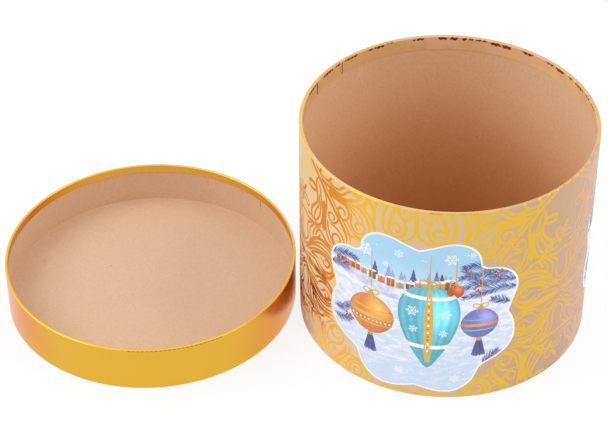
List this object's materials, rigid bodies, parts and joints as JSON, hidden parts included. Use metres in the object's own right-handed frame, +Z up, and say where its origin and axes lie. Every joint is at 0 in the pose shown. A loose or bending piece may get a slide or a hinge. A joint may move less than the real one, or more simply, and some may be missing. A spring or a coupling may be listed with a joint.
{
  "type": "cylindrical gift tube box",
  "caption": "Round gift tube of wound board in a foil-printed paper wrap, with a foil-wrapped slip-on lid lying open beside it.",
  "frame": {"origin": "centre of the underside of the tube's base, on the floor", "axes": "+Z up along the tube's axis; +X from the lid, which lies at -X, towards the tube; +Y away from the viewer"},
  "size_m": [0.367, 0.184, 0.143],
  "materials": {
    "kraft_board": "matte",
    "kraft_ply": "matte",
    "printed_paper": "satin",
    "foil_paper": "gloss",
    "pale_ply": "matte"
  },
  "bodies": {
    "box": {"box_tube": "kraft_board", "box_lining": "kraft_ply", "box_wrap": "printed_paper", "base_board": "kraft_board", "base_lining": "kraft_ply", "base_cover": "printed_paper"},
    "lid": {"lid_hoop": "kraft_board", "lid_lining": "pale_ply", "lid_wrap": "foil_paper", "lid_board": "kraft_board", "lid_board_lining": "pale_ply", "lid_cover": "foil_paper"}
  },
  "joints": [
    {"name": "lid_lift", "type": "slide", "parent": "box", "child": "lid", "axis": [0, 0, 1], "range_m": [0, 0.155]}
  ]
}
